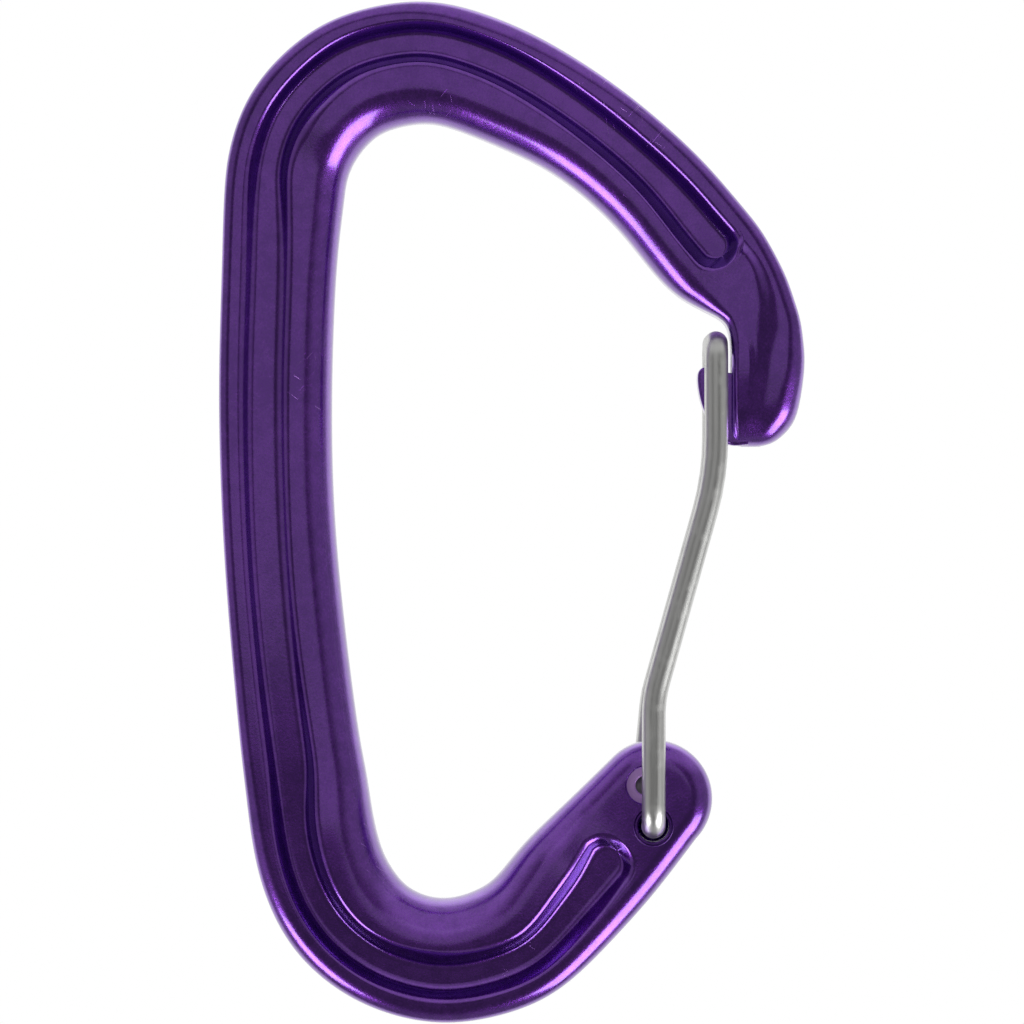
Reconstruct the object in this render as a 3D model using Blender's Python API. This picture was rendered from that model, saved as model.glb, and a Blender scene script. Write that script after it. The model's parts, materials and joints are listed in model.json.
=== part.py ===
"""Wire-gate carabiner, upright as it hangs from its crown.

The frame bends round the XZ plane, the gate opens towards -X, and Y runs through the thickness.
The origin is the highest point of the crown's inner seat, where a rope or sling bears.
"""

import math

import bmesh
import bpy
from mathutils import Matrix, Vector

MM = 0.001

# Driving dimensions, in millimetres.
LENGTH = 97.0
WIDTH = 55.6
WIRE_DIAMETER = 2.25
CROWN_HALF = 5.0  # half thickness of the rope seat under the crown
RIM_HALF = 4.1  # half thickness of the outer rim
SPINE_HALF = 3.7  # half thickness of the spine's inner band
NOSE_HALF = 4.5
CHEEK_HALF = 3.5  # half thickness of the flat hinge cheek
FLOOR_HALF = 2.2  # half thickness of the web at the groove's floor
PANEL_HALF = 3.0  # half thickness of the web along the spine
GATE_GAP = 0.3  # between a gate leg and the hinge cheek
NOTCH_GAP = 0.36  # between the crossbar and the notch wall
TONGUE_GAP = 1.2  # between a gate leg and the nose tongue
BORE_CLEARANCE = 0.35  # radial, between the wire and its bore
BORE_DEPTH = 4.6
PILOT_RADIUS = 0.9
SPOT_MARGIN = 0.3  # how far the spot-face stands outside the bore
SPOT_DEPTH = 0.3
END_GAP = 0.5  # between the wire's end and the foot of its bore
WIRE_BEND = 1.9  # centreline radius where the wire turns through a right angle
SPLIT_Y = 1.5  # where the crossbar is parted between the two gate legs
SPLIT_GAP = 0.3
WALL = 0.95  # width of the groove's sloping wall round its ends
CREASE = 0.12  # half width of the flat line that the groove closes to past its ends

WIRE_RADIUS = WIRE_DIAMETER / 2
BORE_RADIUS = WIRE_RADIUS + BORE_CLEARANCE
SPOT_RADIUS = BORE_RADIUS + SPOT_MARGIN
LEG_Y = CHEEK_HALF + GATE_GAP + WIRE_RADIUS
TONGUE_HALF = CHEEK_HALF + GATE_GAP - TONGUE_GAP

# The outline is drawn for this length and width, and stretched to the driving ones.
DRAWN_LENGTH = 97.0
DRAWN_WIDTH = 55.6

# Each row joins a point on the outer edge to one on the inner edge: outer x, outer z, inner x, inner z.
OUTLINE = [
    # foot of the nose
    (32.7, -30.7, 31.0, -30.7),
    (33.9, -30.4, 30.3, -30.5),
    (35.0, -29.6, 30.1, -29.9),
    (35.9, -28.5, 30.0, -28.9),
    (36.5, -26.8, 30.0, -27.1),
    (37.0, -23.0, 30.0, -23.1),
    (36.8, -20.4, 30.0, -20.9),
    # shoulder over the notch
    (36.5, -18.5, 29.7, -19.5),
    (35.9, -16.6, 29.1, -18.7),
    (35.2, -14.6, 27.8, -18.0),
    (34.1, -12.4, 26.2, -17.2),
    (32.7, -10.0, 24.4, -16.0),
    # slope from the nose to the crown
    (30.5, -7.3, 22.4, -13.9),
    (27.2, -3.5, 19.8, -10.6),
    (23.1, 0.3, 16.5, -7.3),
    (18.3, 4.1, 12.3, -4.2),
    (12.3, 7.9, 7.0, -1.8),
    # crown
    (6.6, 10.4, 2.8, -0.2),
    (1.3, 11.6, 0.4, 0.0),
    (-4.2, 11.0, -1.8, -0.4),
    (-9.1, 9.2, -3.5, -1.1),
    (-13.3, 5.8, -4.9, -2.4),
    (-16.1, 1.9, -5.9, -3.9),
    (-17.6, -2.5, -6.5, -5.5),
    # spine
    (-18.1, -6.8, -6.8, -7.8),
    (-18.3, -13.9, -7.5, -13.9),
    (-18.6, -24.4, -7.9, -24.4),
    (-18.4, -34.9, -7.8, -34.9),
    (-17.8, -45.3, -7.0, -45.0),
    (-16.7, -57.7, -5.5, -57.1),
    (-16.1, -62.9, -4.6, -61.8),
    # base
    (-15.5, -67.9, -4.0, -65.8),
    (-14.5, -72.4, -3.2, -68.9),
    (-12.7, -76.6, -2.2, -70.8),
    (-10.0, -80.1, -0.9, -72.4),
    (-6.1, -83.0, 0.8, -73.3),
    (-1.5, -84.8, 2.3, -73.6),
    (3.2, -85.4, 3.9, -73.5),
    (8.0, -84.7, 5.7, -72.9),
    (12.3, -83.1, 7.4, -71.9),
    # hinge arm
    (15.8, -80.5, 9.1, -69.9),
    (19.5, -76.7, 11.0, -67.7),
    (22.9, -72.9, 14.5, -64.4),
    (26.7, -67.9, 18.7, -60.3),
]

# The section at some of those rows: row, then distances from the outer edge to the end of its rounding,
# to the top and foot of the groove's outer wall, and to the foot and top of its inner wall,
# then the width of the inner rounding, and the half thickness of the rim, the inner band and the floor.
SECTIONS = [
    (0, 0.7, 0.9, 1.0, 1.1, 1.2, 0.4, 1.3, 1.3, 1.3),
    (1, 1.3, 1.6, 1.9, 2.3, 2.6, 0.6, 2.8, 2.8, 2.8),
    (2, 1.8, 2.0, 2.6, 3.4, 3.9, 0.8, 3.8, 3.8, 3.8),
    (4, 2.3, 2.4, 3.1, 4.2, 5.2, 0.9, NOSE_HALF, NOSE_HALF, NOSE_HALF),
    (7, 2.3, 2.4, 3.1, 4.2, 5.2, 0.9, NOSE_HALF, NOSE_HALF, NOSE_HALF),
    (10, 1.9, 2.0, 3.0, 5.6, 6.8, 1.6, NOSE_HALF, NOSE_HALF, FLOOR_HALF),
    (12, 1.9, 2.0, 3.0, 5.6, 6.8, 2.6, RIM_HALF, CROWN_HALF, FLOOR_HALF),
    (15, 1.9, 2.0, 3.0, 4.9, 6.2, 3.6, RIM_HALF, CROWN_HALF, FLOOR_HALF),
    (18, 1.5, 1.6, 2.9, 5.1, 5.7, 4.2, RIM_HALF, CROWN_HALF, FLOOR_HALF),
    (21, 1.9, 2.0, 2.7, 5.0, 5.9, 4.2, RIM_HALF, CROWN_HALF, FLOOR_HALF),
    (24, 1.7, 1.8, 2.8, 5.2, 5.8, 3.4, RIM_HALF, SPINE_HALF, FLOOR_HALF),
    (26, 1.7, 1.8, 2.6, 6.0, 6.3, 3.2, RIM_HALF, SPINE_HALF, PANEL_HALF),
    (28, 1.6, 1.7, 2.5, 6.0, 6.3, 3.2, RIM_HALF, SPINE_HALF, PANEL_HALF),
    (31, 1.6, 1.7, 2.9, 5.4, 6.2, 3.8, RIM_HALF, CROWN_HALF, FLOOR_HALF),
    (34, 2.0, 2.1, 2.7, 5.2, 6.3, 4.4, RIM_HALF, CROWN_HALF, FLOOR_HALF),
    (37, 1.9, 2.0, 2.9, 5.1, 7.2, 4.2, RIM_HALF, CROWN_HALF, FLOOR_HALF),
    (40, 2.0, 2.1, 3.2, 5.6, 6.5, 3.6, RIM_HALF, CROWN_HALF, FLOOR_HALF),
    (42, 2.3, 2.9, 3.9, 7.4, 8.3, 2.5, CHEEK_HALF, CHEEK_HALF, FLOOR_HALF),
    (43, 2.3, 2.9, 3.9, 7.4, 8.3, 2.3, CHEEK_HALF, CHEEK_HALF, CHEEK_HALF),
]
NOTCH_ROW = 6  # where the crossbar rests against the notch wall
SIDE_ROW = 20  # between the nose's half of the outline and the hinge's

# Middles and radii of the groove's two round ends.
NOSE_END = (28.2, -11.4, 2.5)
HINGE_END = (17.9, -70.0, 2.7)

# Gate points: the bends of both legs seen along Y, and the two pivots' distances from the cheek's middle.
KNEE_Z = -33.4
ANKLE = (22.6, -54.5)
FRONT_PIVOT = (-0.1, -2.6)
REAR_PIVOT = (-0.9, 1.25)
KNEE_RADIUS = 26.0
ANKLE_RADIUS = 12.0

# The tongue between the gate's legs, with the hook that the crossbar sits behind: x and z.
TONGUE = [
    (31.6, -23.8),
    (29.8, -23.7),
    (28.5, -23.6),
    (27.8, -23.3),
    (27.3, -23.2),
    (26.9, -23.6),
    (26.8, -24.3),
    (26.9, -25.4),
    (27.2, -26.7),
    (27.7, -28.0),
    (28.3, -29.3),
    (29.1, -30.2),
    (30.2, -30.6),
    (31.6, -30.5),
]

STEPS_PER_ROW = 2
CAP_STEPS = 5
CAP_TURN = 82  # degrees of the cheek's half circle that the last ring reaches
BORE_SIDES = 20
CUT_PAST = 1.0  # how far a cutter stands out of the solid
PATH_STEP = 18  # degrees of turn between two points of a wire
OUTER_ANGLES = (0, 32, 62, 90)
INNER_ANGLES = (90, 64, 40, 18, 0)


def placed(x, z):
    """A drawn point stretched to the driving length and width."""
    return Vector((x * WIDTH / DRAWN_WIDTH, 0, z * LENGTH / DRAWN_LENGTH))


def smooth_between(before, start, end, after, t):
    """The point at share t of the Catmull-Rom curve from start to end."""
    return 0.5 * (
        2 * start
        + (end - before) * t
        + (2 * before - 5 * start + 4 * end - after) * t * t
        + (3 * start - before - 3 * end + after) * t**3
    )


def edges_at(row):
    """Outer and inner edge points at a row number, which may lie between two rows."""
    last = len(OUTLINE) - 1
    i = min(int(row), last - 1)
    t = row - i
    found = []
    for column in (0, 2):
        start, end = (placed(*OUTLINE[k][column : column + 2]) for k in (i, i + 1))
        before = placed(*OUTLINE[i - 1][column : column + 2]) if i else 2 * start - end
        after = placed(*OUTLINE[i + 2][column : column + 2]) if i < last - 1 else 2 * end - start
        found.append(smooth_between(before, start, end, after, t))
    return found


def sizes_at(row):
    """The section's sizes at a row number, eased from one listed section to the next."""
    k = max(j for j, section in enumerate(SECTIONS) if section[0] <= row)
    if k == len(SECTIONS) - 1:
        return SECTIONS[k][1:]
    start, end = SECTIONS[k], SECTIONS[k + 1]
    t = (row - start[0]) / (end[0] - start[0])
    t = t * t * (3 - 2 * t)
    return [a + (b - a) * t for a, b in zip(start[1:], end[1:])]


def past_end(row, end, direction):
    """How far a row lies past the middle of a groove end, and where that middle falls along the row."""
    outer, inner = edges_at(row)
    along = (inner - outer).normalized()
    across = Vector((along.z, 0, -along.x)) * direction
    offset = outer - placed(*end[:2])
    return offset.dot(across), -offset.dot(along)


def row_past(end, direction, distance, low, high):
    """The row number that lies a given distance past a groove end's middle, by halving."""
    for _ in range(40):
        middle = (low + high) / 2
        beyond = past_end(middle, end, direction)[0] > distance
        if beyond == (direction > 0):
            high = middle
        else:
            low = middle
    return (low + high) / 2


def groove_at(row, top_out, foot_out, foot_in, top_in):
    """Where the four groove lines cross a row, and the share of its depth that the floor has there."""
    end, direction = (NOSE_END, -1) if row < SIDE_ROW else (HINGE_END, 1)
    past, middle = past_end(row, end, direction)
    radius = end[2]
    if past <= 0:
        return top_out, foot_out, foot_in, top_in, 1
    if past < radius:
        wide = max(math.sqrt(radius**2 - past**2), CREASE)
        narrow = max(math.sqrt(max((radius - WALL) ** 2 - past**2, 0)), CREASE / 2)
        share = min(1, (radius - past) / WALL)
        return middle - wide, middle - narrow, middle + narrow, middle + wide, share
    spread = min(1, (past - radius) / radius)
    spread = spread * spread * (3 - 2 * spread)
    closed = (middle - CREASE, middle - CREASE / 2, middle + CREASE / 2, middle + CREASE)
    lines = [a + (b - a) * spread for a, b in zip(closed, (top_out, foot_out, foot_in, top_in))]
    return (*lines, 0)


def section_at(row):
    """The front half of a section: distances from the outer edge, with the half thickness at each."""
    outer, inner = edges_at(row)
    width = (inner - outer).length
    round_out, top_out, foot_out, foot_in, top_in, round_in, rim, band, floor = sizes_at(row)
    round_in = min(round_in, width - top_in)
    lines = groove_at(row, top_out, foot_out, foot_in, top_in)
    rise = (band - rim) / (width - round_in - round_out)
    points = []
    for angle in OUTER_ANGLES:
        turned = math.radians(angle)
        points.append((round_out * (1 - math.cos(turned)), rim * math.sin(turned)))
    for distance, share in zip(lines, (0, lines[-1], lines[-1], 0)):
        surface = rim + rise * (distance - round_out)
        points.append((distance, surface + (floor - surface) * share))
    for angle in INNER_ANGLES:
        turned = math.radians(angle)
        points.append((width - round_in * (1 - math.cos(turned)), band * math.sin(turned)))
    return outer, (inner - outer).normalized(), points


def ring_of(outer, along, points):
    """The closed ring of a section, down the front and back up the rear."""
    front = [outer + along * w + Vector((0, -half, 0)) for w, half in points]
    rear = [outer + along * w + Vector((0, half, 0)) for w, half in points[-2:0:-1]]
    return front + rear


def cheek_cap(outer, along, points):
    """Rings that close the hinge cheek in a half circle past the last row."""
    radius = (edges_at(len(OUTLINE) - 1)[1] - outer).length / 2
    onward = Vector((along.z, 0, -along.x))
    round_out = SECTIONS[-1][1]
    rings = []
    for step in range(1, CAP_STEPS + 1):
        turned = math.radians(CAP_TURN) * step / CAP_STEPS
        squeezed = []
        for w, _ in points:
            across = (radius - w) * math.cos(turned)
            inside = radius - math.hypot(across, radius * math.sin(turned))
            share = max(0.0, min(1.0, inside / round_out))
            squeezed.append((radius - across, CHEEK_HALF * math.sqrt(1 - (1 - share) ** 2)))
        rings.append(ring_of(outer + onward * radius * math.sin(turned), along, squeezed))
    return rings


def swept(name, rings):
    """A closed solid through a row of rings, each with the same number of points, in millimetres."""
    bm = bmesh.new()
    face = bm.faces.new([bm.verts.new(p * MM) for p in rings[0]])
    for number, ring in enumerate(rings[1:]):
        made = bmesh.ops.extrude_face_region(bm, geom=[face])
        if number:
            bm.faces.remove(face)
        face = next(item for item in made["geom"] if isinstance(item, bmesh.types.BMFace))
        for vertex, point in zip(face.verts, ring):
            vertex.co = point * MM
    bmesh.ops.recalc_face_normals(bm, faces=bm.faces)
    mesh = bpy.data.meshes.new(name)
    bm.to_mesh(mesh)
    bm.free()
    made = bpy.data.objects.new(name, mesh)
    bpy.context.scene.collection.objects.link(made)
    return made


def hidden(tool):
    """Marks an object that only cuts or joins another."""
    tool.hide_render = True
    tool.display_type = "WIRE"
    return tool


def combined(target, tool, operation):
    """Adds a Boolean of the hidden tool to the target."""
    modifier = target.modifiers.new(tool.name, "BOOLEAN")
    modifier.operation = operation
    modifier.solver = "EXACT"
    modifier.object = hidden(tool)


def gate_pivot(x, z):
    """A pivot at its distance from the middle of the hinge cheek."""
    outer, inner = edges_at(len(OUTLINE) - 1)
    return (outer + inner) / 2 + Vector((x, 0, z))


def crossbar_axis():
    """The crossbar's centre: beside the notch wall, at the notch's height."""
    wall = edges_at(NOTCH_ROW)[1]
    return Vector((wall.x - NOTCH_GAP - WIRE_RADIUS, 0, wall.z))


def stepped_bore(name, pivot, entry):
    """The cutter for one pivot: a spot-face on each cheek, a bore from the entry side, a pilot through."""
    steps = [
        (SPOT_RADIUS, CHEEK_HALF + CUT_PAST),
        (SPOT_RADIUS, CHEEK_HALF - SPOT_DEPTH),
        (BORE_RADIUS, CHEEK_HALF - SPOT_DEPTH),
        (BORE_RADIUS, CHEEK_HALF - BORE_DEPTH),
        (PILOT_RADIUS, CHEEK_HALF - BORE_DEPTH),
        (PILOT_RADIUS, SPOT_DEPTH - CHEEK_HALF),
        (SPOT_RADIUS, SPOT_DEPTH - CHEEK_HALF),
        (SPOT_RADIUS, -CHEEK_HALF - CUT_PAST),
    ]
    rings = []
    for radius, depth in steps:
        ring = []
        for k in range(BORE_SIDES):
            angle = 2 * math.pi * k / BORE_SIDES
            ring.append(pivot + Vector((radius * math.cos(angle), entry * depth, radius * math.sin(angle))))
        rings.append(ring)
    return swept(name, rings)


def rounded(corners, radii):
    """A path through the corners, each turned with its radius."""
    path = [corners[0]]
    for before, corner, after, radius in zip(corners, corners[1:], corners[2:], radii):
        back, onward = (before - corner).normalized(), (after - corner).normalized()
        turn = math.pi - back.angle(onward)
        centre = corner + (back + onward).normalized() * radius / math.cos(turn / 2)
        start = corner + back * radius * math.tan(turn / 2) - centre
        axis = back.cross(onward).normalized()
        count = max(2, math.ceil(math.degrees(turn) / PATH_STEP))
        for k in range(count + 1):
            path.append(centre + Matrix.Rotation(-turn * k / count, 3, axis) @ start)
    return path + [corners[-1]]


def gate_leg(name, side, pivot, end_y, origin, material):
    """One leg of the wire gate: out of its bore, up past the cheek and across the crossbar to end_y."""
    bar = crossbar_axis()
    leg = Vector((0, side * LEG_Y, 0))
    ankle = placed(*ANKLE)
    knee = Vector((bar.x, 0, KNEE_Z * LENGTH / DRAWN_LENGTH))
    foot = Vector((0, side * (CHEEK_HALF - BORE_DEPTH + END_GAP), 0))
    corners = [pivot + foot, pivot + leg, ankle + leg, knee + leg, bar + leg, bar + Vector((0, end_y, 0))]
    path = rounded(corners, (WIRE_BEND, ANKLE_RADIUS, KNEE_RADIUS, WIRE_BEND))
    curve = bpy.data.curves.new(name, "CURVE")
    curve.dimensions = "3D"
    curve.bevel_depth = WIRE_RADIUS * MM
    curve.bevel_resolution = 3
    curve.use_fill_caps = True
    spline = curve.splines.new("POLY")
    spline.points.add(len(path) - 1)
    for point, place in zip(spline.points, path):
        point.co = (*((place - origin) * MM), 1)
    curve.materials.append(material)
    made = bpy.data.objects.new(name, curve)
    made.location = origin * MM
    bpy.context.scene.collection.objects.link(made)
    return made


def finish(name, colour, roughness):
    """A metal with its own colour."""
    material = bpy.data.materials.new(name)
    material.use_nodes = True
    shader = material.node_tree.nodes["Principled BSDF"]
    shader.inputs["Base Color"].default_value = (*colour, 1)
    shader.inputs["Metallic"].default_value = 1
    shader.inputs["Roughness"].default_value = roughness
    return material


def frame_rows():
    """The row numbers that get a ring, with more of them round the groove's ends."""
    rows = [k / STEPS_PER_ROW for k in range((len(OUTLINE) - 1) * STEPS_PER_ROW + 1)]
    for end, direction, low, high in ((NOSE_END, -1, 8, 16), (HINGE_END, 1, 38, 43)):
        extra = [row_past(end, direction, end[2] * s, low, high) for s in (0, 0.5, 0.85, 1, 1.5, 2)]
        between = min(extra) - 0.2, max(extra) + 0.2
        rows = [row for row in rows if not between[0] < row < between[1]] + extra
    return sorted(rows)


def frame_body(material):
    rings = [ring_of(*section_at(row)) for row in frame_rows()]
    rings += cheek_cap(*section_at(len(OUTLINE) - 1))
    body = swept("frame", rings)
    tongue = []
    for y in (-TONGUE_HALF, TONGUE_HALF):
        tongue.append([placed(x, z) + Vector((0, y, 0)) for x, z in TONGUE])
    combined(body, swept("tongue", tongue), "UNION")
    for name, offset, entry in (("front_bore", FRONT_PIVOT, -1), ("rear_bore", REAR_PIVOT, 1)):
        combined(body, stepped_bore(name, gate_pivot(*offset), entry), "DIFFERENCE")
    body.data.materials.append(material)
    body.data.shade_smooth()
    body.data.set_sharp_from_angle(angle=math.radians(30))


for old in list(bpy.data.objects):
    bpy.data.objects.remove(old)

anodised = finish("purple_anodised_aluminium", (0.075, 0.022, 0.17), 0.35)
stainless = finish("stainless_wire", (0.6, 0.6, 0.59), 0.25)
frame_body(anodised)
front_pivot = gate_pivot(*FRONT_PIVOT)
rear_pivot = gate_pivot(*REAR_PIVOT)
gate_leg("gate_front_leg", -1, front_pivot, SPLIT_Y - SPLIT_GAP / 2, front_pivot, stainless)
gate_leg("gate_rear_leg", 1, rear_pivot, SPLIT_Y + SPLIT_GAP / 2, crossbar_axis(), stainless)
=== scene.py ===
"""The looks of a wire-gate carabiner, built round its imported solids.

It hangs upright from its crown: the frame bends round the XZ plane, and the gate opens towards -X.
"""

import json
import math

import bmesh
import bpy
import numpy as np
from mathutils import Matrix, Vector


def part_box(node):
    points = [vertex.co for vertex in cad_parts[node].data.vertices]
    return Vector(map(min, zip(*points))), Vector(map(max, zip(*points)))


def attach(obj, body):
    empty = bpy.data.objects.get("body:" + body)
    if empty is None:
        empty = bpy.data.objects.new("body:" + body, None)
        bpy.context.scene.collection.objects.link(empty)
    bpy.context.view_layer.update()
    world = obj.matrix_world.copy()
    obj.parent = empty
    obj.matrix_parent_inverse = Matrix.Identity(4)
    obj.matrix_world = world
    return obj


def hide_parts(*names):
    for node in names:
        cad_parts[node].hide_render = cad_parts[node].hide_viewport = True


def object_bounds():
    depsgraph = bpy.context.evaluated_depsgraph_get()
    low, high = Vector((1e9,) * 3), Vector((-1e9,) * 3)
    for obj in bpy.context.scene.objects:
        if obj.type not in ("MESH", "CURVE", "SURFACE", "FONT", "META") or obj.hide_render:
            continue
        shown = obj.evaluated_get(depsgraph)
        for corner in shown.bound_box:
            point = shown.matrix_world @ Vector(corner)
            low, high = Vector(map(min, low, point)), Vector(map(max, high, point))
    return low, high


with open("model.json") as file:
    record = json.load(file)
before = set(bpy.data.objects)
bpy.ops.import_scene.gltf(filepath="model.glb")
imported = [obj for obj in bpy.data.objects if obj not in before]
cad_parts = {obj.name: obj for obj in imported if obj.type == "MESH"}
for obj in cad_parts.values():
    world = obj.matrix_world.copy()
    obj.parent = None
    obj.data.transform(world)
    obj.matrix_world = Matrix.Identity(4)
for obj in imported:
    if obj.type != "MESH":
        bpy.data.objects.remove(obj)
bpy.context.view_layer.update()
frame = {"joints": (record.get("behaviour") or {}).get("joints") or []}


# The view.
# The camera stands level with the carabiner's middle, in front of it, and sees little more than its height.
low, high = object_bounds()
middle = (low + high) / 2
distance = 0.8
margin = 1.004

camera = bpy.data.objects.new("camera", bpy.data.cameras.new("camera"))
camera.data.lens = camera.data.sensor_width * distance / ((high.z - low.z) * margin)
camera.data.clip_start = 0.01
camera.location = (middle.x, -distance, middle.z)
camera.rotation_euler = (math.radians(90), 0, 0)
bpy.context.scene.collection.objects.link(camera)
bpy.context.scene.camera = camera


# The forged frame.
# One aluminium bar, bent round the opening and hot forged to an I-beam: a rim outside, a wider band
# inside where the rope runs, and a groove between them that closes before the nose and the hinge.
mm = 0.001

# Each row joins a point on the outer edge to one on the inner edge: outer x, outer z, inner x, inner z.
edge_rows = [
    # foot of the nose
    (32.7, -30.7, 31.0, -30.7),
    (33.9, -30.4, 30.3, -30.5),
    (35.0, -29.6, 30.1, -29.9),
    (35.9, -28.5, 30.0, -28.9),
    (36.5, -26.8, 30.0, -27.1),
    (37.0, -23.0, 30.0, -23.1),
    (36.8, -20.4, 30.0, -20.9),
    # shoulder over the notch
    (36.5, -18.5, 29.7, -19.5),
    (35.9, -16.6, 29.1, -18.7),
    (35.2, -14.6, 27.8, -18.0),
    (34.1, -12.4, 26.2, -17.2),
    (32.7, -10.0, 24.4, -16.0),
    # slope from the nose to the crown
    (30.5, -7.3, 22.4, -13.9),
    (27.2, -3.5, 19.8, -10.6),
    (23.1, 0.3, 16.5, -7.3),
    (18.3, 4.1, 12.3, -4.2),
    (12.3, 7.9, 7.0, -1.8),
    # crown
    (6.6, 10.4, 2.8, -0.2),
    (1.3, 11.6, 0.4, 0.0),
    (-4.2, 11.0, -1.8, -0.4),
    (-9.1, 9.2, -3.5, -1.1),
    (-13.3, 5.8, -4.9, -2.4),
    (-16.1, 1.9, -5.9, -3.9),
    (-17.6, -2.5, -6.5, -5.5),
    # spine
    (-18.1, -6.8, -6.8, -7.8),
    (-18.3, -13.9, -7.5, -13.9),
    (-18.6, -24.4, -7.9, -24.4),
    (-18.4, -34.9, -7.8, -34.9),
    (-17.8, -45.3, -7.0, -45.0),
    (-16.7, -57.7, -5.5, -57.1),
    (-16.1, -62.9, -4.6, -61.8),
    # base
    (-15.5, -67.9, -4.0, -65.8),
    (-14.5, -72.4, -3.2, -68.9),
    (-12.7, -76.6, -2.2, -70.8),
    (-10.0, -80.1, -0.9, -72.4),
    (-6.1, -83.0, 0.8, -73.3),
    (-1.5, -84.8, 2.3, -73.6),
    (3.2, -85.4, 3.9, -73.5),
    (8.0, -84.7, 5.7, -72.9),
    (12.3, -83.1, 7.4, -71.9),
    # hinge arm
    (15.8, -80.5, 9.1, -69.9),
    (19.5, -76.7, 11.0, -67.7),
    (22.9, -72.9, 14.5, -64.4),
    (26.7, -67.9, 18.7, -60.3),
]

# The section at some of those rows: row, then distances from the outer edge to the end of its rounding,
# to the top and foot of the groove's outer wall, and to the foot and top of its inner wall, then the width
# of the inner rounding, the half thickness of the rim, the inner band and the floor, how softly the inner
# wall's top is rounded, and where the slope from the rim's height to the band's starts and ends.
section_rows = [
    (0, 0.6, 0.85, 0.9, 0.95, 1.0, 0.4, 1.0, 1.0, 0.9, 0.1, 0.9, 1.3),
    (1, 1.2, 1.5, 1.7, 1.9, 2.1, 0.7, 2.0, 2.0, 1.8, 0.3, 1.3, 2.6),
    (2, 2.2, 2.4, 3.6, 3.8, 4.0, 0.8, 2.9, 2.9, 2.6, 0.5, 1.9, 4.0),
    (4, 2.4, 2.6, 5.0, 5.2, 5.4, 0.8, 3.8, 4.0, 2.6, 0.5, 3.2, 5.3),
    (5, 1.8, 2.0, 5.2, 5.4, 5.6, 0.8, 4.1, 4.5, 2.6, 0.5, 3.2, 5.4),
    (7, 1.3, 1.8, 5.3, 5.5, 5.7, 0.9, 4.1, 4.5, 2.6, 0.5, 1.8, 4.4),
    (8.5, 1.3, 1.8, 3.9, 5.3, 6.1, 1.3, 4.1, 4.5, 2.6, 0.5, 1.5, 3.3),
    (10, 1.2, 1.9, 2.9, 5.5, 6.7, 2.2, 4.1, 4.6, 2.6, 0.5, 1.5, 2.5),
    (12, 1.2, 2.2, 3.2, 5.7, 6.9, 3.1, 4.1, 5.0, 2.6, 0.5, 2.3, 3.3),
    (14, 1.2, 2.3, 3.2, 5.2, 6.3, 3.3, 4.1, 5.0, 2.6, 0.6, 2.4, 3.4),
    (17, 1.75, 2.0, 2.9, 5.1, 5.9, 3.6, 4.1, 5.0, 2.6, 0.5, 2.6, 5.0),
    (19, 1.2, 1.9, 2.9, 5.0, 5.9, 4.0, 4.1, 5.0, 2.6, 0.5, 2.6, 5.0),
    (21, 1.2, 2.2, 3.0, 5.0, 6.2, 4.2, 4.1, 5.0, 2.6, 1.1, 2.6, 5.0),
    (23, 1.1, 2.0, 3.1, 5.0, 5.9, 3.6, 4.1, 4.2, 2.6, 0.5, 2.6, 5.0),
    (25, 1.0, 2.0, 3.1, 5.6, 6.5, 3.3, 4.1, 3.7, 2.9, 0.4, 2.6, 5.5),
    (28, 1.0, 2.0, 2.8, 5.5, 6.3, 3.3, 4.1, 3.7, 3.0, 0.3, 2.6, 5.5),
    (29.5, 1.1, 2.3, 3.2, 6.1, 6.9, 3.4, 4.1, 4.2, 2.8, 0.4, 2.6, 5.5),
    (31, 1.4, 2.2, 3.2, 5.3, 6.3, 4.0, 4.1, 5.0, 2.6, 0.5, 2.6, 5.0),
    (34, 2.0, 2.3, 3.3, 5.5, 6.4, 4.5, 4.1, 5.0, 2.6, 0.5, 2.6, 5.0),
    (36.5, 1.5, 2.2, 3.2, 5.4, 6.9, 4.5, 4.1, 5.0, 2.6, 0.8, 2.6, 5.0),
    (39, 1.8, 2.2, 3.4, 5.6, 6.5, 4.2, 4.1, 5.0, 2.6, 0.5, 2.6, 5.0),
    (41, 2.1, 2.4, 3.8, 6.2, 7.3, 3.2, 3.9, 4.6, 2.5, 0.5, 2.9, 6.0),
    (42, 2.2, 2.9, 3.9, 7.4, 8.3, 2.6, 3.5, 3.5, 2.4, 0.5, 3.0, 6.0),
    (43, 2.2, 2.9, 3.9, 7.4, 8.3, 2.3, 3.5, 3.5, 2.4, 0.5, 3.0, 6.0),
]

fine_steps = 64  # points on the smooth curves for each row
ease_passes = 900  # how often those points are averaged with their neighbours
station_gap = 0.55  # mm along the outer edge
fillet = 0.52  # mm, from a corner of the groove to the end of its rounding
tall = 1.1  # height of an edge's rounding over its width
crease = 0.12  # mm, half width of the line that the groove closes to
merge_run = 5.0  # mm past the nose end over which that line moves to its listed place
most_taken = 0.45  # share of a flat that the rounding at one of its ends may take
lead = 0.08  # how far past a rounding its flat gets one more point, as a share of its reach
corner_steps = 6
most_round = 0.97  # share of the half thickness that an edge's rounding may take
outer_steps = 11  # steps round the outer edge
inner_steps = 13
rim_steps = 13  # steps across the flat of the rim and of the inner band
band_steps = 5
side_row = 20  # rows before this one belong to the groove's nose end
nose_end_row = 11.4  # where the groove's round ends begin
hinge_end_row = 41.7
nose_span = (7, 16)  # rows within which each of them lies
hinge_span = (38, 43)
brim_steps = 14  # stations round the brim and the floor of each, and past it
floor_steps = 10
onward_steps = 7
halvings = 30
least_gap = 0.002  # of a row, between two stations
cap_steps = 30
cap_tip = 0.004  # width of the cap's last ring, as a share of the cheek's


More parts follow.
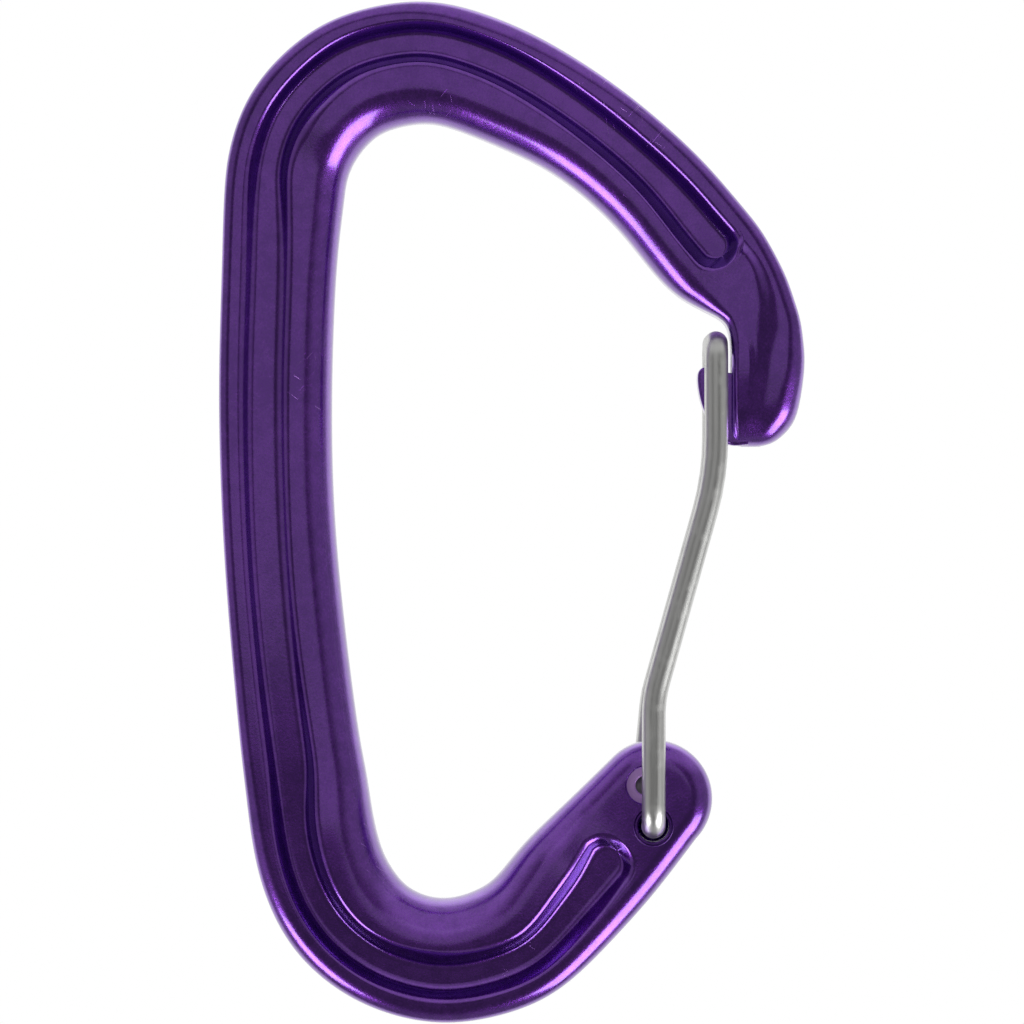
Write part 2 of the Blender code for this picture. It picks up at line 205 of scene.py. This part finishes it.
def through(rows):
    """The smooth curve through all the rows."""
    rows = np.array(rows, float)
    padded = np.vstack([2 * rows[0] - rows[1], rows, 2 * rows[-1] - rows[-2]])
    before, start, end, after = padded[:-3], padded[1:-2], padded[2:-1], padded[3:]
    t = np.arange(fine_steps)[:, None, None] / fine_steps
    curve = 2 * start + (end - before) * t
    curve = curve + (2 * before - 5 * start + 4 * end - after) * t**2
    curve = (curve + (3 * start - before - 3 * end + after) * t**3) / 2
    return np.vstack([curve.transpose(1, 0, 2).reshape(-1, rows.shape[1]), rows[-1]])


def eased(curve):
    """The curve with its small waves averaged out."""
    for _ in range(ease_passes):
        curve[1:-1] += (curve[:-2] - 2 * curve[1:-1] + curve[2:]) / 4
    return curve


def softened(share):
    """A share from 0 to 1 that starts and stops gently."""
    share = min(max(share, 0.0), 1.0)
    return share * share * (3 - 2 * share)


fine_rows = np.arange((len(edge_rows) - 1) * fine_steps + 1) / fine_steps
edges = eased(through(edge_rows))
listed = np.array(section_rows)
spans = np.interp(fine_rows, listed[:, 0], np.arange(len(listed)))
whole = np.minimum(spans.astype(int), len(listed) - 2)
part = (spans - whole)[:, None]
part = part * part * (3 - 2 * part)
sizes = eased(listed[whole, 1:] * (1 - part) + listed[whole + 1, 1:] * part)


def at_row(table, row):
    """A table's values at a row number."""
    return [float(np.interp(row, fine_rows, column)) for column in table.T]


def edges_at(row):
    """The outer edge point and the direction to the inner one, with the width between them."""
    x, z, inner_x, inner_z = at_row(edges, row)
    outer = Vector((x, 0, z))
    across = Vector((inner_x, 0, inner_z)) - outer
    return outer, across.normalized(), across.length


def groove_end(row, direction):
    """One round end of the groove: its middle, the radii of its brim and floor, and which way it closes."""
    outer, along, _ = edges_at(row)
    top_out, foot_out, foot_in, top_in = at_row(sizes, row)[1:5]
    brim, floor = (top_in - top_out) / 2, (foot_in - foot_out) / 2
    shift = (foot_in + foot_out - top_in - top_out) / 2
    return outer + along * (top_in + top_out) / 2, brim, floor, shift, direction


def past_end(row, end):
    """How far a row lies past the middle of a groove end, and where that middle falls along the row."""
    outer, along, _ = edges_at(row)
    middle_point, *_, direction = end
    onward = Vector((along.z, 0, -along.x)) * direction
    return (outer - middle_point).dot(onward), (middle_point - outer).dot(along)


def row_past(end, reach, first, last):
    """The row that lies a given distance past a groove end's middle."""
    *_, direction = end
    for _ in range(halvings):
        halfway = (first + last) / 2
        beyond = past_end(halfway, end)[0] > reach
        if beyond == (direction > 0):
            last = halfway
        else:
            first = halfway
    return (first + last) / 2


nose_end = groove_end(nose_end_row, -1)
hinge_end = groove_end(hinge_end_row, 1)


def groove_at(row, lines):
    """Where the four groove lines cross a row, and the share of the groove's depth there."""
    end = nose_end if row < side_row else hinge_end
    past, centre = past_end(row, end)
    _, brim, floor, shift, direction = end
    if past <= 0:
        return lines, 1
    if past < brim:
        wide = max(math.sqrt(brim**2 - past**2), crease)
        narrow = max(math.sqrt(max(floor**2 - past**2, 0)), crease / 2)
        share = softened((brim - past) / (brim - floor))
        shifted = centre + shift * share
        return [centre - wide, shifted - narrow, shifted + narrow, centre + wide], share
    if direction < 0:
        merged = softened((past - brim) / merge_run)
        centre = centre * (1 - merged) + lines[2] * merged
    return [centre - crease, centre - crease / 2, centre + crease / 2, centre + crease], 0


def turned_corner(before, corner, after, reach):
    """The points that round one corner of the section, with one more on the flat to each side."""
    back, onward = before - corner, after - corner
    reach_back = min(reach, back.length * most_taken)
    reach_on = min(reach, onward.length * most_taken)
    start = corner + back.normalized() * reach_back
    end = corner + onward.normalized() * reach_on
    points = [start + (start - corner) * lead]
    for step in range(corner_steps + 1):
        t = step / corner_steps
        points.append(start * (1 - t) ** 2 + corner * 2 * t * (1 - t) + end * t**2)
    return points + [end + (end - corner) * lead]


def quarter(count):
    """Sine and cosine of angles from flat to upright."""
    turns = [math.radians(90) * step / count for step in range(count + 1)]
    return [(math.sin(turn), math.cos(turn)) for turn in turns]


def rounding(across, half, count):
    """A rounded edge, as distances in from the edge with the half thickness at each."""
    height = min(across * tall, half * most_round)
    return [(across * (1 - c), half - height * (1 - s)) for s, c in quarter(count)]


def section_at(row):
    """The front half of a section, as distances from the outer edge with the half thickness at each."""
    outer, along, width = edges_at(row)
    round_out, *lines, round_in, rim, band, floor, soft, slope_start, slope_end = at_row(sizes, row)
    round_in = min(round_in, width - lines[3])
    lines, share = groove_at(row, lines)

    def surface(w):
        return rim + (band - rim) * softened((w - slope_start) / (slope_end - slope_start))

    first = max(round_out, lines[0] - fillet / most_taken)
    last = min(width - round_in, lines[3] + soft / most_taken)
    corners = [Vector((first, surface(first)))]
    for line, depth in zip(lines, (0, share, share, 0)):
        corners.append(Vector((line, surface(line) + (floor - surface(line)) * depth)))
    corners.append(Vector((last, surface(last))))
    reaches = (fillet, fillet, fillet, soft)
    turned = []
    for before, corner, after, reach in zip(corners, corners[1:], corners[2:], reaches):
        turned += turned_corner(before, corner, after, reach)
    points = [Vector((0, 0))] + [Vector(point) for point in rounding(round_out, rim, outer_steps)]
    for w in np.linspace(round_out, turned[0].x, rim_steps + 1)[1:-1]:
        points.append(Vector((w, surface(w))))
    points += turned
    for w in np.linspace(turned[-1].x, width - round_in, band_steps + 1)[1:-1]:
        points.append(Vector((w, surface(w))))
    inner_round = reversed(rounding(round_in, band, inner_steps))
    points += [Vector((width - w, half)) for w, half in inner_round]
    return outer, along, points + [Vector((width, 0))]


def ring_of(outer, along, points):
    """The closed ring of a section, down the front and back up the rear."""
    front = [outer + along * w + Vector((0, -half, 0)) for w, half in points]
    rear = [outer + along * w + Vector((0, half, 0)) for w, half in points[-2:0:-1]]
    return front + rear


def cheek_cap(outer, along, points):
    """Rings that close the hinge cheek in a half circle past the last row."""
    across, half_thick = sizes[-1][0], sizes[-1][6]
    radius = edges_at(fine_rows[-1])[2] / 2
    onward = Vector((along.z, 0, -along.x))
    rings = []
    for s, c in quarter(cap_steps)[1:-1] + [(1, cap_tip)]:
        squeezed = []
        for w, half in points:
            inside = radius - math.hypot((radius - w) * c, radius * s)
            share = 1 - min(max(inside / across, 0), 1)
            most = half_thick - across * tall * (1 - math.sqrt(1 - share**2))
            squeezed.append((radius - (radius - w) * c, min(half, most)))
        rings.append(ring_of(outer + onward * radius * s, along, squeezed))
    return rings


def swept(name, rings):
    """A closed mesh made by extruding the first ring's face from ring to ring, in millimetres."""
    bm = bmesh.new()
    face = bm.faces.new([bm.verts.new(p * mm) for p in rings[0]])
    for number, ring in enumerate(rings[1:]):
        made = bmesh.ops.extrude_face_region(bm, geom=[face])
        if number:
            bm.faces.remove(face)
        face = next(item for item in made["geom"] if isinstance(item, bmesh.types.BMFace))
        for vertex, point in zip(face.verts, ring):
            vertex.co = point * mm
    bmesh.ops.recalc_face_normals(bm, faces=bm.faces)
    mesh = bpy.data.meshes.new(name)
    bm.to_mesh(mesh)
    bm.free()
    made = bpy.data.objects.new(name, mesh)
    bpy.context.scene.collection.objects.link(made)
    return made


run = np.concatenate([[0], np.cumsum(np.hypot(*np.diff(edges[:, :2], axis=0).T))])
stations = list(np.interp(np.linspace(0, run[-1], int(run[-1] / station_gap)), run, fine_rows))
for end, span in ((nose_end, nose_span), (hinge_end, hinge_span)):
    _, brim, floor, *_ = end
    reaches = [brim * s for s, _ in quarter(brim_steps)]
    reaches += [floor * s for s, _ in quarter(floor_steps)[1:]]
    reaches += [brim + station_gap * step / 2 for step in range(1, onward_steps + 1)]
    extra = [row_past(end, reach, *span) for reach in reaches]
    stations = [row for row in stations if not min(extra) < row < max(extra)] + extra
stations = sorted(stations)
spaced = stations[:1]
for row in stations[1:]:
    if row - spaced[-1] > least_gap:
        spaced.append(row)

rings = [ring_of(*section_at(row)) for row in spaced]
rings += cheek_cap(*section_at(fine_rows[-1]))
forged_frame = swept("forged_frame", rings)


# The hook between the gate's legs.
# Part of the same forging: the web of the nose stands out as a tongue, and its tip curls up
# into a small hook that holds the crossbar when the carabiner is loaded.
hook_outline = [
    (31.6, -23.8),
    (29.8, -23.7),
    (28.5, -23.6),
    (27.8, -23.3),
    (27.3, -23.2),
    (26.9, -23.6),
    (26.8, -24.3),
    (26.9, -25.4),
    (27.2, -26.7),
    (27.7, -28.0),
    (28.3, -29.3),
    (29.1, -30.2),
    (30.2, -30.6),
    (31.6, -30.5),
]
hook_half = 2.6
hook_edge = 0.3  # radius of its rounded edges
hook_edge_steps = 6
hook_stride = 16  # one point of the smooth curve in so many is used

hook_curve = through(hook_outline)[::hook_stride]
tangents = np.gradient(hook_curve, axis=0)
tangents /= np.hypot(*tangents.T)[:, None]
inward = np.stack([-tangents[:, 1], tangents[:, 0]], axis=1)
edge_round = [(hook_edge * (1 - s), hook_half - hook_edge * (1 - c)) for s, c in quarter(hook_edge_steps)]
hook_rings = []
for side in (-1, 1):
    for inset, y in edge_round[::-side]:
        line = hook_curve + inward * inset
        hook_rings.append([Vector((x, side * y, z)) for x, z in line])
hook = swept("hook", hook_rings)


# The gate's pivot holes.
# Each is bored from one cheek to a blind end with a smaller pilot through it, and spot-faced on both
# cheeks with a small chamfer. The two are offset, so that opening the gate twists its wire.
joints = {joint["name"]: joint for joint in frame["joints"]}
wire_radius = 1.125
bore_gap = 0.35  # between the wire and its bore
spot_margin = 0.3  # width of the spot face round the bore
bore_radius = wire_radius + bore_gap
spot_radius = bore_radius + spot_margin
pilot_radius = 0.9
cheek_half = 3.5
bore_depth = 4.6  # from the cheek's face
cone_depth = 0.3  # of the drill's tip
spot_depth = 0.3
chamfer = 0.12
step_height = 0.001  # keeps one ring of the cutter from lying in the next one's plane
overshoot = 1  # how far the cutter stands out of the cheek
bore_sides = 64
sharp_angle = 38  # degrees between faces, past which an edge is drawn sharp
front_pivot = Vector(joints["gate_hinge"]["pos_m"]) / mm
rear_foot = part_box("gate_rear_leg")[0] / mm
rear_pivot = Vector((rear_foot.x + wire_radius, 0, rear_foot.z + wire_radius))


def bore_cutter(name, pivot, entry):
    """The turned cutter of one pivot hole, entered from the front (-1) or the rear (1)."""
    profile = [
        (spot_radius + overshoot + chamfer, cheek_half + overshoot),
        (spot_radius + chamfer, cheek_half + step_height),
        (spot_radius, cheek_half - chamfer),
        (spot_radius - chamfer / 2, cheek_half - spot_depth),
        (bore_radius + chamfer, cheek_half - spot_depth - step_height),
        (bore_radius, cheek_half - spot_depth - chamfer),
        (bore_radius, cheek_half - bore_depth),
        (pilot_radius, cheek_half - bore_depth - cone_depth),
        (pilot_radius, spot_depth + chamfer - cheek_half),
        (pilot_radius + chamfer, spot_depth + step_height - cheek_half),
        (spot_radius - chamfer / 2, spot_depth - cheek_half),
        (spot_radius, chamfer - cheek_half),
        (spot_radius + chamfer, -step_height - cheek_half),
        (spot_radius + overshoot + chamfer, -cheek_half - overshoot),
    ]
    turns = [math.radians(360 * step / bore_sides) for step in range(bore_sides)]
    rings = []
    for radius, y in profile:
        circle = [Vector((radius * math.cos(turn), entry * y, radius * math.sin(turn))) for turn in turns]
        rings.append([pivot + point for point in circle])
    return swept(name, rings)


tools = [(hook, "UNION")]
for name, pivot, entry in (("front_bore", front_pivot, -1), ("rear_bore", rear_pivot, 1)):
    tools.append((bore_cutter(name, pivot, entry), "DIFFERENCE"))
for tool, operation in tools:
    modifier = forged_frame.modifiers.new(tool.name, "BOOLEAN")
    modifier.operation = operation
    modifier.solver = "EXACT"
    modifier.object = tool
graph = bpy.context.evaluated_depsgraph_get()
cut = bpy.data.meshes.new_from_object(forged_frame.evaluated_get(graph))
forged_frame.modifiers.clear()
forged_frame.data = cut
for tool, _ in tools:
    bpy.data.objects.remove(tool)
forged_frame.data.shade_smooth()
forged_frame.data.set_sharp_from_angle(angle=math.radians(sharp_angle))


# Anodised aluminium.
# The forging is tumbled, fine blasted and dyed purple, so it has a tight even grain, a soft metallic
# sheen, slightly uneven dye and a few hairline marks where it has rubbed on other gear.
class Signal:
    """A shader socket that reads as a number: each operator adds a Math node."""

    def __init__(self, tree, socket=None):
        self.tree = tree
        self.socket = socket

    def node(self, kind, settings=None, inputs=None, output=0):
        """Adds any node, with its settings first and then its sockets' values or links."""
        made = self.tree.nodes.new(kind)
        for name, value in (settings or {}).items():
            setattr(made, name, value)
        for name, value in (inputs or {}).items():
            if isinstance(value, Signal):
                self.tree.links.new(value.socket, made.inputs[name])
            else:
                made.inputs[name].default_value = value
        return Signal(self.tree, made.outputs[output])

    def maths(self, operation, *values):
        return self.node("ShaderNodeMath", {"operation": operation}, dict(enumerate(values)))

    def __add__(self, other):
        return self.maths("ADD", self, other)

    def __sub__(self, other):
        return self.maths("SUBTRACT", self, other)

    def __rsub__(self, other):
        return self.maths("SUBTRACT", other, self)

    def __mul__(self, other):
        return self.maths("MULTIPLY", self, other)

    __radd__ = __add__
    __rmul__ = __mul__

    def between(self, start, end):
        """0 up to start and 1 from end on, with a soft step between."""
        settings = {"interpolation_type": "SMOOTHSTEP"}
        return self.node("ShaderNodeMapRange", settings, {0: self, 1: start, 2: end})


def finish(name, constants):
    """A material with its Principled shader's constants set, and a signal to add nodes with."""
    material = bpy.data.materials.new(name)
    material.use_nodes = True
    shader = material.node_tree.nodes["Principled BSDF"]
    for socket, value in constants.items():
        shader.inputs[socket].default_value = value
    return material, shader, Signal(material.node_tree)


def noise(signal, place, scale, detail, distortion=0):
    """A noise value about 0.5, on the given coordinates."""
    inputs = {"Vector": place, "Scale": scale, "Detail": detail, "Distortion": distortion}
    return signal.node("ShaderNodeTexNoise", None, inputs)


anodised, shader, signal = finish(
    "purple_anodised_aluminium",
    {"Coat Weight": 1.0, "Coat Roughness": 0.16, "Coat IOR": 1.7},
)
place = signal.node("ShaderNodeTexCoord", None, None, 3)
grain = noise(signal, place, 4600, 2)
dapple = noise(signal, place, 900, 3)
dye = noise(signal, place, 90, 3, 0.4)
marks = 0
stretch = (1, 1, 0.03)  # draws noise out into lines
for turn, patch_scale in ((35, 61), (-50, 67), (80, 73)):
    turned = signal.node(
        "ShaderNodeMapping",
        {"vector_type": "TEXTURE"},
        {"Vector": place, "Rotation": (0, math.radians(turn), 0), "Scale": stretch},
    )
    line = noise(signal, turned, 420, 0)
    patch = noise(signal, place, patch_scale, 1)
    marks = marks + line.between(0.8, 0.84) * patch.between(0.6, 0.66)
shade = dye * 0.35 + dapple * 0.3 + grain * 0.35
purple = signal.node(
    "ShaderNodeMix",
    {"data_type": "RGBA"},
    {0: shade.between(0.38, 0.62), 6: (0.135, 0.012, 0.36, 1), 7: (0.215, 0.035, 0.51, 1)},
    2,
)
# The rear hole's spot faces get a painted highlight: they are painted pale lilac, rougher and less
# metallic, so they read brighter.
spot_level = cheek_half - spot_depth
x, y, z = (signal.node("ShaderNodeSeparateXYZ", None, {0: place}, axis) for axis in range(3))
aside, above = x - rear_pivot.x * mm, z - rear_pivot.z * mm
reach = aside * aside + above * above
depth = y.maths("ABSOLUTE", y)
cut_reach = (spot_radius * mm) ** 2
cut_near, cut_far = 0.1, 0.15  # mm either side of the spot face, where its mask starts and ends
within = 1 - reach.between(cut_reach * 0.9, cut_reach)
over_floor = depth.between((spot_level - cut_far) * mm, (spot_level - cut_near) * mm)
under_cheek = 1 - depth.between((spot_level + cut_near) * mm, (spot_level + cut_far) * mm)
painted_spot_highlight = within * over_floor * under_cheek
# Pale lilac for the hairline marks, where the dye is rubbed off, and for the painted highlight on the rear
# hole's spot faces.
pale = marks * 0.5 + painted_spot_highlight * 0.9
worn_and_lit_lilac = (0.75, 0.42, 1.0, 1)
colour = signal.node("ShaderNodeMix", {"data_type": "RGBA"}, {0: pale, 6: purple, 7: worn_and_lit_lilac}, 2)
rough = 0.15 + grain * 0.1 + dapple * 0.06 + dye * 0.05 + painted_spot_highlight * 0.15
height = grain * 0.7 + dapple * 0.3 - marks * 0.5
bump = signal.node("ShaderNodeBump", None, {"Strength": 0.7, "Distance": 0.00003, "Height": height})
signal.tree.links.new(colour.socket, shader.inputs["Base Color"])
signal.tree.links.new(rough.socket, shader.inputs["Roughness"])
signal.tree.links.new((1 - painted_spot_highlight * 0.6).socket, shader.inputs["Metallic"])
signal.tree.links.new(bump.socket, shader.inputs["Normal"])

forged_frame.data.materials.clear()
forged_frame.data.materials.append(anodised)
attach(forged_frame, "frame")
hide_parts("frame")


# The wire gate.
# One length of stainless spring wire, bent into a loop. Each end turns in its own pivot hole, each leg
# runs up outside its cheek, and the crossbar at the top closes the loop behind the hook.
leg_gap = 0.3  # between a leg and its cheek
leg_y = cheek_half + leg_gap + wire_radius
knee_z = -33.4  # height of the upper crank in each leg
ankle = Vector((22.6, 0, -54.5))  # the lower crank
foot_inset = 2.4  # how deep each end stands in its bore
split_y = 1.5  # where the two legs meet in the crossbar
bends = (1.9, 12.0, 26.0, 1.9)  # bend radii at the foot, ankle, knee and top
crossbar = Vector(joints["gate_twist"]["pos_m"]) / mm
turn_step = 5  # degrees between the rings of a bend
wire_sides = 40
wire_sharp_angle = 40


def bent(corners, radii):
    """A path through the corners, each turned with its radius."""
    path = [corners[0]]
    for before, corner, after, radius in zip(corners, corners[1:], corners[2:], radii):
        back, onward = (before - corner).normalized(), (after - corner).normalized()
        turn = math.pi - back.angle(onward)
        centre = corner + (back + onward).normalized() * radius / math.cos(turn / 2)
        start = corner + back * radius * math.tan(turn / 2) - centre
        axis = back.cross(onward).normalized()
        count = max(3, math.ceil(math.degrees(turn) / turn_step))
        for step in range(count + 1):
            path.append(centre + Matrix.Rotation(-turn * step / count, 3, axis) @ start)
    return path + [corners[-1]]


def wire_rings(path):
    """Rings round a path, each turned on from the last with no twist."""
    rings = []
    forward = (path[1] - path[0]).normalized()
    side = forward.orthogonal().normalized()
    for number, point in enumerate(path):
        behind = path[max(number - 1, 0)]
        ahead = path[min(number + 1, len(path) - 1)]
        onward = (ahead - behind).normalized()
        side = (forward.rotation_difference(onward) @ side).normalized()
        forward = onward
        other = forward.cross(side)
        ring = []
        for step in range(wire_sides):
            turn = math.radians(360 * step / wire_sides)
            ring.append(point + (side * math.cos(turn) + other * math.sin(turn)) * wire_radius)
        rings.append(ring)
    return rings


def wire_leg(name, side, pivot):
    """One leg of the gate, from its end in the bore to the split in the crossbar."""
    out = Vector((0, side * leg_y, 0))
    inset = Vector((0, side * (cheek_half - foot_inset), 0))
    knee = Vector((crossbar.x, 0, knee_z))
    split = crossbar + Vector((0, split_y, 0))
    corners = [pivot + inset, pivot + out, ankle + out, knee + out, crossbar + out, split]
    path = bent(corners, bends)
    leg = swept(name, wire_rings(path))
    runs = [0]
    for before, point in zip(path, path[1:]):
        runs.append(runs[-1] + (point - before).length)
    drawn = leg.data.attributes.new("drawn", "FLOAT_VECTOR", "POINT")
    for vertex in leg.data.vertices:
        number, step = divmod(vertex.index, wire_sides)
        turn = math.radians(360 * step / wire_sides)
        drawn.data[vertex.index].vector = (
            wire_radius * mm * math.cos(turn),
            wire_radius * mm * math.sin(turn),
            runs[number] * mm,
        )
    leg.data.shade_smooth()
    leg.data.set_sharp_from_angle(angle=math.radians(wire_sharp_angle))
    return leg


# Drawn stainless steel.
# The wire is pulled through a die and polished, so faint lines run along it, with small scuffs and a
# slightly uneven dullness all over.
stainless, shader, signal = finish("stainless_wire", {"Metallic": 1.0})
drawn = signal.node("ShaderNodeAttribute", {"attribute_name": "drawn"}, None, 1)
along = signal.node("ShaderNodeMapping", None, {"Vector": drawn, "Scale": stretch})
place = signal.node("ShaderNodeTexCoord", None, None, 3)
lines = noise(signal, along, 7000, 3)
scuffs = noise(signal, place, 700, 4)
tarnish = noise(signal, place, 160, 2)
steel = signal.node(
    "ShaderNodeMix",
    {"data_type": "RGBA"},
    {0: tarnish * 0.6 + lines * 0.4, 6: (0.58, 0.58, 0.565, 1), 7: (0.78, 0.78, 0.765, 1)},
    2,
)
rough = 0.30 + lines * 0.12 + scuffs.between(0.5, 0.7) * 0.1
bump = signal.node(
    "ShaderNodeBump", None, {"Strength": 0.35, "Distance": 0.00001, "Height": lines * 0.8 + scuffs * 0.2}
)
signal.tree.links.new(steel.socket, shader.inputs["Base Color"])
signal.tree.links.new(rough.socket, shader.inputs["Roughness"])
signal.tree.links.new(bump.socket, shader.inputs["Normal"])

for name, node, body, side, pivot in (
    ("wire_front_leg", "gate_front_leg", "gate", -1, front_pivot),
    ("wire_rear_leg", "gate_rear_leg", "rear_leg", 1, rear_pivot),
):
    leg = wire_leg(name, side, pivot)
    leg.data.materials.append(stainless)
    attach(leg, body)
    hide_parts(node)


# The floor.
# A plain pale disc well below the hanging carabiner, which fades out at its edge.
floor_drop = 0.5
floor_radius = 0.9
floor_segments = 96
fade_start, fade_end = 0.25, 0.75

bm = bmesh.new()
bmesh.ops.create_circle(bm, cap_ends=True, segments=floor_segments, radius=floor_radius)
bmesh.ops.translate(bm, verts=bm.verts, vec=(middle.x, 0, low.z - floor_drop))
mesh = bpy.data.meshes.new("floor")
bm.to_mesh(mesh)
bm.free()
floor = bpy.data.objects.new("floor", mesh)
bpy.context.scene.collection.objects.link(floor)
pale, shader, signal = finish("pale_floor", {"Base Color": (0.9, 0.9, 0.91, 1), "Roughness": 0.8})
place = signal.node("ShaderNodeTexCoord", None, None, 3)
spread = signal.node("ShaderNodeVectorMath", {"operation": "LENGTH"}, {0: place}, 1)
fade = 1 - spread.between(fade_start, fade_end)
signal.tree.links.new(fade.socket, shader.inputs["Alpha"])
floor.data.materials.append(pale)


# The studio light.
# A soft white tent, dim in front and bright behind, so that flat faces stay deep in colour and rounded
# edges catch light. Two soft boxes stand low at the left and right, and a small dim panel is in front.
front_glow, side_glow, roof_glow, back_glow = 0.1, 0.22, 0.45, 0.8

world = bpy.data.worlds.new("tent")
bpy.context.scene.world = world
world.use_nodes = True
signal = Signal(world.node_tree)
background = world.node_tree.nodes["Background"]
heading = signal.node("ShaderNodeTexCoord", None, None, 0)
x, y, z = (signal.node("ShaderNodeSeparateXYZ", None, {0: heading}, axis) for axis in range(3))
sides = x.maths("ABSOLUTE", x).between(0.5, 0.85)
roof = z.between(0.35, 0.75)
back = y.between(0.3, 0.6)
tent = front_glow + sides * side_glow + roof * roof_glow + back * back_glow
seen = signal.node("ShaderNodeLightPath", None, None, 0)
bright = tent + (1 - tent) * seen
signal.tree.links.new(bright.socket, background.inputs["Strength"])
background.inputs["Color"].default_value = (1, 1, 1, 1)


def soft_lamp(name, place, size, power):
    """A square lamp that faces the carabiner's middle and isn't seen itself."""
    lamp = bpy.data.lights.new(name, "AREA")
    lamp.size = size
    lamp.energy = power
    made = bpy.data.objects.new(name, lamp)
    made.location = middle + Vector(place)
    made.rotation_euler = Vector(place).to_track_quat("Z", "Y").to_euler()
    made.visible_camera = False
    bpy.context.scene.collection.objects.link(made)


soft_lamp("lamp_lower_left", (-0.40, -0.18, -0.42), 0.28, 1.15)
soft_lamp("lamp_lower_right", (0.36, -0.155, -0.345), 0.36, 1.7)
soft_lamp("lamp_front", (0, -0.18, 0.04), 0.13, 0.0155)
bpy.context.scene.view_settings.view_transform = "Standard"
